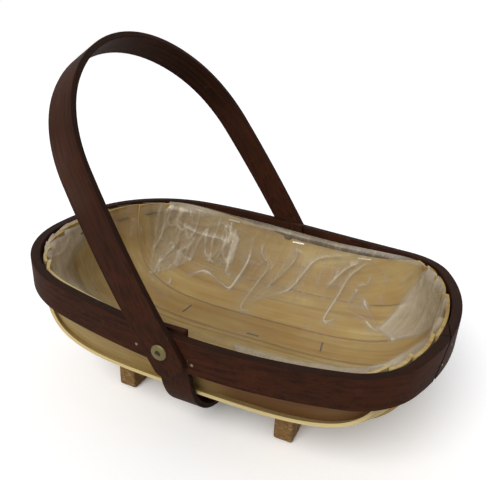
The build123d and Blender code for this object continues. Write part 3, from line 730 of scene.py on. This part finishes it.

# %% [markdown]
# ### The creases
# A crease is a sharp ridge with a flat facet falling away on one side of it. A grid could be sculpted by
# hand, but a list of lines is easier to change. Each line below is one crease: its points in the picture,
# how far it stands up in millimetres, and how white the painted highlight along its ridge shows.
# Points right of the line, in its direction of travel, get the long facet.

# %% Creases as they run over the back, the floor and the ends
creases = [
    ([(234.8, 221.6), (262, 227), (296, 235.7), (322.7, 242.3), (346, 248), (369, 253.9)], 1.2, 0.50),
    ([
        (359, 255.6), (340, 256.5), (322.7, 258), (312.7, 263), (302, 276),
        (289.5, 289.6), (272, 295), (256.3, 300.3), (251.4, 312.8),
    ], 2.2, 0.60),
    ([
        (296, 239.8), (297.8, 251.4), (294.5, 261.4), (284, 273),
        (273, 283), (256, 296), (246, 309.5),
    ], 2.4, 0.55),
    ([
        (256, 233), (252, 248), (248, 263), (238, 279), (229.8, 288.7),
        (221, 283), (214.9, 278), (205, 271.3), (191.7, 274.6), (186.4, 276.5),
    ], 2.4, 0.75),
    ([
        (261.3, 238), (263, 254.7), (268.8, 266.3), (258, 283),
        (244.7, 301.2), (241.4, 309.5), (252, 312),
    ], 2.2, 0.55),
    ([(370.8, 255.6), (357, 264), (344.2, 271.3), (334, 281), (326, 290.4)], 2.0, 0.60),
    ([(366, 257), (352, 267), (340, 278), (331, 290)], 1.2, 0.35),
    ([
        (372.4, 259.7), (361, 268), (349.2, 278), (338, 297),
        (324.3, 319.4), (331, 321), (341, 312.6),
    ], 2.2, 0.65),
    ([
        (172, 217.2), (191.6, 230.3), (207, 236), (223, 239.4),
        (222.4, 247.3), (211.2, 259), (213.9, 263.6),
    ], 2.0, 0.50),
    ([
        (181.2, 223.8), (177.3, 243.4), (169, 253), (161.6, 261),
        (170.7, 256.4), (182, 250), (193, 243.4),
    ], 2.2, 0.60),
    ([(195.6, 238.1), (190, 245.3), (187, 252)], 1.4, 0.40),
    ([(224, 221.6), (227, 232), (225.5, 243), (220, 254), (213.9, 263.6)], 1.6, 0.55),
    ([(228, 223), (231.5, 236), (228.5, 249), (222, 259)], 1.4, 0.45),
    ([(237.3, 228), (234, 241.5), (229, 258), (228.2, 275)], 1.6, 0.50),
    ([(176, 206.8), (200, 211.5), (223, 216.6)], 0.8, 0.26),
    ([(190, 222), (205, 226), (222, 224), (229, 219)], 1.0, 0.22),
    ([(228.2, 288.5), (236, 281.3), (244, 269.5), (250, 258)], 1.6, 0.50),
    ([(355.8, 287.9), (362, 285), (367.4, 284.6), (372.4, 273)], 1.4, 0.50),
    ([(355.8, 288), (356, 294), (347.5, 307.8), (355.8, 314.4), (372, 322)], 1.8, 0.50),
    ([(362.5, 299.5), (371, 314), (379, 329.4)], 1.8, 0.55),
    ([(380.7, 295.4), (381.5, 306)], 1.0, 0.50),
    ([(365.8, 321), (371, 327), (379.4, 333.7)], 1.2, 0.75),
    ([(374, 261.4), (380.7, 269.7)], 0.8, 0.35),
    ([(382.4, 266.3), (385.5, 276), (387.3, 286.2)], 0.9, 0.35),
    ([(390.7, 264.7), (390.5, 275), (389, 284.6)], 0.9, 0.30),
    ([(415.5, 271.3), (408, 279), (400.6, 286.2)], 0.9, 0.40),
    ([(425.5, 268.8), (412, 288), (399, 308), (385.7, 324.4), (376, 330)], 1.6, 0.30),
    ([(390.7, 337.6), (393.4, 342.2)], 0.8, 0.40),
    ([(273, 226.5), (282.9, 231.5), (296, 235.7)], 0.8, 0.45),
    ([(326, 229.9), (348, 238), (369, 248), (388, 253), (405.6, 255.6)], 0.9, 0.35),
    ([(160.3, 203.5), (158.5, 217), (156.3, 230.3), (153.7, 253.8), (149.8, 273.4)], 1.2, 0.40),
    ([(171.4, 278.7), (168.8, 283.9)], 1.0, 0.70),
    ([(155, 278.7), (152.4, 282.6)], 1.0, 0.60),
    ([(131.5, 218.5), (139.3, 225), (144.6, 234.2)], 1.4, 0.45),
    ([(134, 225), (131.5, 238)], 1.0, 0.30),
    ([(151, 286.5), (161.6, 291.7), (170.7, 294.3)], 0.9, 0.30),
    ([(41.3, 253.8), (46, 264), (53, 272), (72.7, 285.2), (89.7, 297)], 0.9, 0.45),
    ([(70, 236), (62, 252), (49, 257.7)], 1.2, 0.22),
    ([(96, 252), (92, 270), (97, 292)], 1.4, 0.25),
    ([(303, 330), (318, 322), (328, 322)], 0.6, 0.22),
    ([(205, 340), (232, 334), (262, 331)], 0.5, 0.16),
]
print("creases:", len(creases))


# %% How far each point of the picture is from a crease, and on which side of it
def rounded(line, parts=5):
    """The same line drawn as one smooth curve through its points."""
    points = np.array([line[0], *line, line[-1]], float)
    share = np.arange(parts)[:, None] / parts
    curve = []
    for a, b, c, d in zip(points, points[1:], points[2:], points[3:]):
        bend = 2 * a - 5 * b + 4 * c - d
        twist = -a + 3 * b - 3 * c + d
        curve.append(b + 0.5 * ((c - a) * share + bend * share**2 + twist * share**3))
    return np.concatenate([*curve, points[-1:]])


def from_line(line):
    """The nearest part of a line: how many pixels away it is, on which side, and how far along the line."""
    nearest = np.full(pixel_u.shape, 1e3)
    side, along = np.zeros(pixel_u.shape), np.zeros(pixel_u.shape)
    for step, ((ax, ay), (bx, by)) in enumerate(zip(line, line[1:])):
        dx, dy = bx - ax, by - ay
        share = np.clip(((pixel_u - ax) * dx + (pixel_v - ay) * dy) / (dx * dx + dy * dy + 1e-9), 0, 1)
        away = np.hypot(pixel_u - ax - share * dx, pixel_v - ay - share * dy)
        closer = away < nearest
        nearest = np.where(closer, away, nearest)
        side = np.where(closer, (dx * (pixel_v - ay) - dy * (pixel_u - ax)) > 0, side)
        along = np.where(closer, (step + share) / (len(line) - 1), along)
    return nearest, side, along


stand = np.zeros(pixel_u.shape)
white = np.zeros(pixel_u.shape)
facet_sheen = np.zeros(pixel_u.shape)
ridge_width, facet_width, short_side_width = 1.6, 9.0, 2.6
line_width, glow_width = 1.15, 3.0
line_white, glow_white = 0.68, 0.40
sheen_facet_reach, sheen_short_reach = 7.0, 1.5
# Each crease gets a painted highlight along its ridge, which comes and goes as glints, and painted sheen as a
# veil over its long facet.
for number, (line, height, show) in enumerate(creases):
    away, side, along = from_line(rounded(line))
    fade = np.clip(np.minimum(along, 1 - along) * 5 + 0.15, 0, 1)
    glint = fade * (0.66 + 0.34 * np.sin(pixel_u * 0.16 + pixel_v * 0.12 + number * 1.7))
    spread = np.where(side > 0, facet_width, short_side_width)
    ridge = np.exp(-((away / ridge_width) ** 2))
    stand += height * fade * (0.4 * ridge + 0.6 * np.exp(-away / spread))
    white = np.maximum(white, show * glint * line_white * np.exp(-((away / line_width) ** 2)))
    white = np.maximum(white, show * glint * glow_white * np.exp(-((away / glow_width) ** 2)))
    facet_sheen = np.maximum(facet_sheen, show * fade * np.exp(-away / np.where(side > 0, sheen_facet_reach, sheen_short_reach)))
stand *= seen_share
white *= seen_share
facet_sheen *= seen_share


# %% Hazy parts, where the film is doubled, rubbed or turned edge on, with painted light at the left end, over the laps and on the crease facets
def inside(corners, soft):
    """1 inside a polygon of the picture and 0 outside, with an edge that is soft pixels wide."""
    even = np.zeros(pixel_u.shape, bool)
    for (ax, ay), (bx, by) in zip(corners, corners[1:] + corners[:1]):
        if ay != by:
            crosses = (ay > pixel_v) != (by > pixel_v)
            even ^= crosses & (pixel_u < (bx - ax) * (pixel_v - ay) / (by - ay) + ax)
    away, _, _ = from_line(corners + corners[:1])
    return np.clip(0.5 + np.where(even, away, -away) / soft, 0, 1)


rear_band = [
    (165, 200), (213, 208), (262, 217), (312, 226), (370, 240), (444, 264), (436, 272),
    (400, 262), (369, 254), (322, 242), (281, 232), (234, 221), (200, 214), (168, 209),
]
doubled = [
    (160.3, 203.5), (234, 222), (240, 240), (229, 276), (213, 264),
    (196, 258), (175, 268), (149.8, 275), (156, 231),
]
taut_corner = [
    (446, 260), (427, 268), (412, 288), (399, 308), (377, 330),
    (392, 341), (420, 336), (442, 322), (449, 300), (449, 276),
]
near_band = [
    (232, 343), (289, 359), (318.6, 363.5), (345, 367), (366, 367.5), (387, 361.7), (408.4, 349.5),
    (426.6, 337), (439, 318), (452, 318), (440, 345), (405, 375), (340, 385), (240, 362),
]
left_end = [
    (38, 246), (50, 232), (76, 217), (88, 220), (86, 238), (75, 252),
    (70, 268), (84, 288), (104, 304), (80, 300), (50, 280), (36, 256),
]
crumple = [(356, 288), (368, 300), (366, 314), (350, 308)]
back_wall = [(232, 224), (300, 238), (372, 256), (350, 290), (300, 300), (262, 292), (232, 270)]
in_double, in_back = inside(doubled, 2.5), inside(back_wall, 22)
haze = 0.05 * in_back + 0.26 * inside(rear_band, 2) + 0.21 * in_double
# The left end's film is hazy, and its haze is raised further as painted light, milky pale over the end's
# shaded inner wall.
haze += 0.46 * inside(taut_corner, 5) + 0.55 * inside(near_band, 3) + 0.60 * inside(left_end, 10)
# The crease facets' painted sheen is added to the haze.
haze += 0.16 * inside(crumple, 4) + 0.26 * facet_sheen
clear_haze, lap_light_haze = 0.075, 0.07
# Painted light: where the film bridges a lap it is made hazier, which pales the shadow in the lap's step.
bridging = np.clip((far - loose - 0.0011) / 0.0012, 0, 1)
haze = haze * np.clip(open_to_view / 0.05 + 0.5, 0, 1) + clear_haze + lap_light_haze * bridging
print("haze from", round(float(haze.min()), 2), "to", round(float(haze.max()), 2))

# %% Small folds everywhere, so that the sheet isn't smooth between the creases or where nobody looked
folds = np.zeros(loose.shape)
streaks = np.zeros(loose.shape)
broad, narrow = 34, 52
for i in range(around_count):
    for j in range(down_count):
        x, y, z = base[i, j]
        rough = noise.noise((x * broad, y * broad, z * broad + 5))
        ridge = 1 - abs(noise.noise((x * narrow + rough, y * narrow - rough, z * narrow)) * 2.2)
        folds[i, j] = max(ridge, 0) ** 3 * (0.4 + 0.6 * max(rough + 0.35, 0))
        if seen_share[i, j] > 0:
            u, v = pixel_u[i, j], pixel_v[i, j]
            lean_u, lean_v = u + v * 0.38, v - u * 0.38
            pull = noise.noise((lean_u * 0.085, lean_v * 0.020 + rough * 0.5, 3))
            fine_pull = noise.noise((lean_u * 0.24, lean_v * 0.045, 9))
            streaks[i, j] = max(1 - abs(pull) * 4.5, 0) ** 2 * 0.7
            streaks[i, j] += max(1 - abs(fine_pull) * 5, 0) ** 3 * 0.5
hidden = 1 - seen_share
pulled = streaks * seen_share * (0.08 + 0.75 * in_double + 0.45 * in_back)
stand += folds * (0.45 + 1.1 * hidden) + pulled * 1.2
haze += pulled * 0.50
# The small folds get faint painted highlights too, stronger where the film is out of view.
white = np.maximum(white, folds**2 * (0.05 + 0.16 * hidden))

# %% The staples hold the film down, and its top edge lies close to the rim
staple_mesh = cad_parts["liner_staples"].data
staple_points = np.array([v.co[:] for v in staple_mesh.vertices])
pinned_reach, pinned_fade = 0.0025, 0.006
held = np.ones(loose.shape)
for corner in staple_points[:: max(len(staple_points) // 160, 1)]:
    from_staple = np.linalg.norm(base - corner, axis=2)
    held = np.minimum(held, np.clip((from_staple - pinned_reach) / pinned_fade, 0, 1))
from_edge = np.arange(down_count)[None, ::-1] / down_count
held = np.minimum(held, np.clip(0.25 + from_edge * 9, 0, 1))
millimetre, pinned_hair = 0.001, 0.0001
film_reach = loose - stand * millimetre * held
film_reach = np.where(held < 0.05, far - pinned_hair, film_reach)
film_points = points_at(film_reach)

# %% At the ends the film's edge is folded outwards over the tips of the boards
over_tips = np.interp(
    oval_degrees,
    [0, 20, 40, 62, 118, 140, 180, 215, 242, 300, 320, 345, 360],
    [0.0015, 0.0030, 0.0040, 0.0, 0.0, 0.0045, 0.0050, 0.0048, 0.0, 0.0, 0.0022, 0.0010, 0.0015],
)
fold_from, fold_run, fold_rise = 0.945, 0.055, 0.22
fold_share = np.clip((np.arange(down_count) / (down_count - 1) - fold_from) / fold_run, 0, 1)[None, :]
film_points[:, :, :2] += way[:, None, :] * (over_tips[:, None] * fold_share**1.5)[:, :, None]
film_points[:, :, 2] += over_tips[:, None] * fold_rise * np.sqrt(fold_share)

# %% The sheet's faces, in rings that close round the basket
around, down = np.meshgrid(np.arange(around_count), np.arange(down_count), indexing="ij")
index = around * down_count + down
following = np.roll(index, -1, axis=0)
quads = np.stack([index[:, :-1], index[:, 1:], following[:, 1:], following[:, :-1]], axis=2).reshape(-1, 4)
film_mesh = bpy.data.meshes.new("clear_film")
film_mesh.from_pydata(film_points.reshape(-1, 3).tolist(), [], quads.tolist())
film_mesh.shade_smooth()
for title, values in (("haze", haze), ("crease", white)):
    layer = film_mesh.attributes.new(title, "FLOAT", "POINT")
    layer.data.foreach_set("value", np.ascontiguousarray(values, dtype=np.float32).ravel())
film = bpy.data.objects.new("clear_film", film_mesh)
bpy.context.scene.collection.objects.link(film)

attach(film, "basket")
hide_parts("liner")

# %% [markdown]
# ### The film's finish
# Clear film is mostly not there: what shows is haze, and the painted highlights along its creases.
# A glass shader would bend the boards behind it. A Principled BSDF with a low Alpha lets them through unbent,
# and Alpha is where the haze and the creases go. Layer Weight adds the sheen that film has when seen edge on.

# %% The film
clear = Finish("clear_film")
x, y, z = clear.place()
spot = clear.vector(x, y, z)
film_haze_and_light = clear.node("ShaderNodeAttribute", {"attribute_name": "haze"}, output=2)
lines = clear.node("ShaderNodeAttribute", {"attribute_name": "crease"}, output=2)
smear = clear.noise(spot, 46.0, 4.0, 0.6, distortion=0.6)
crinkle = clear.noise(spot, 260.0, 3.0, 0.6)
edge_on = clear.node("ShaderNodeLayerWeight", {}, {0: 0.25}, output=1)
cover = film_haze_and_light * (0.55 + smear * 0.9) + lines * (0.55 + crinkle * 0.5) + edge_on * 0.06
film_white = (0.47, 0.405, 0.30)
film_milky_and_lit = (0.70, 0.60, 0.45)
film_bright = (0.80, 0.71, 0.52)
most_cover = 0.96
# Very hazy film is milkier and paler; at the left end this carries painted light.
film_colour = clear.mix(film_haze_and_light.between(0.45, 0.85), film_white, film_milky_and_lit)
# The painted highlights of the creases take the brighter colour.
clear.coat(
    Base_Color=clear.mix(lines.between(0.15, 0.6), film_colour, film_bright),
    Roughness=0.20 + smear * 0.18,
    Specular_IOR_Level=0.5,
    Alpha=cover.maths("MINIMUM", cover, most_cover),
    Normal=clear.relief(crinkle * 0.6 + smear * 0.4, 0.0008, 0.5),
)
film_mesh.materials.append(clear.material)

# %% [markdown]
# ## The floor, the light and the finish
# The trug stands on a plain white floor. A plane of 6 m reaches well past the picture on every side.
# The floor could be lit until it burns out to white, but that would bleach the boards too.
# Instead, only rays that go straight to the viewer, or by way of metal or film, see it brighter.
# The shadow under the trug stays, because the floor is still an ordinary surface.

# %% The white floor
floor_reach, floor_drop = 3.0, 0.0002
quarters = [(-1, -1), (1, -1), (1, 1), (-1, 1)]
corners = [(x * floor_reach, y * floor_reach, -floor_drop) for x, y in quarters]
floor_mesh = bpy.data.meshes.new("floor")
floor_mesh.from_pydata(corners, [], [(0, 1, 2, 3)])
floor = bpy.data.objects.new("floor", floor_mesh)
bpy.context.scene.collection.objects.link(floor)

floor_finish = Finish("white_floor")
seen = floor_finish.node("ShaderNodeLightPath", output=0)
seen = seen.maths("MAXIMUM", seen, floor_finish.node("ShaderNodeLightPath", output=3))
seen = seen.maths("MAXIMUM", seen, floor_finish.node("ShaderNodeLightPath", output=6))
floor_grey, floor_white = (0.55, 0.55, 0.55), (1.22, 1.22, 1.22)
floor_colour = floor_finish.mix(seen, floor_grey, floor_white)
plain = floor_finish.node("ShaderNodeBsdfDiffuse", {}, {0: floor_colour})
floor_finish.node("ShaderNodeOutputMaterial", {}, {0: plain})
floor_mesh.materials.append(floor_finish.material)

# %% Soft light from the front, and an even sky
sky_grey, sky_white = (0.44, 0.44, 0.45, 1), (1, 1, 1, 1)
key_power, key_width, key_from = 2.25, 38, (-0.06, -0.86, 0.78)

world = bpy.data.worlds.new("studio")
bpy.context.scene.world = world
world.use_nodes = True
tree = world.node_tree
tree.nodes.clear()
path = tree.nodes.new("ShaderNodeLightPath")
either = tree.nodes.new("ShaderNodeMath")
either.operation = "MAXIMUM"
tree.links.new(path.outputs["Is Camera Ray"], either.inputs[0])
tree.links.new(path.outputs["Is Transmission Ray"], either.inputs[1])
every = tree.nodes.new("ShaderNodeMath")
every.operation = "MAXIMUM"
tree.links.new(either.outputs[0], every.inputs[0])
tree.links.new(path.outputs["Is Glossy Ray"], every.inputs[1])
sky = tree.nodes.new("ShaderNodeMix")
sky.data_type = "RGBA"
sky.inputs[6].default_value = sky_grey
sky.inputs[7].default_value = sky_white
tree.links.new(every.outputs[0], sky.inputs[0])
back = tree.nodes.new("ShaderNodeBackground")
tree.links.new(sky.outputs[2], back.inputs["Color"])
tree.links.new(back.outputs[0], tree.nodes.new("ShaderNodeOutputWorld").inputs[0])

key_data = bpy.data.lights.new("key", "SUN")
key_data.energy = key_power
key_data.angle = math.radians(key_width)
key = bpy.data.objects.new("key", key_data)
key.rotation_mode = "QUATERNION"
key.rotation_quaternion = Vector(key_from).to_track_quat("Z", "Y")
bpy.context.scene.collection.objects.link(key)
print("light: one soft lamp and the sky")

# %% Settings and the end
bpy.context.scene.view_settings.view_transform = "Standard"
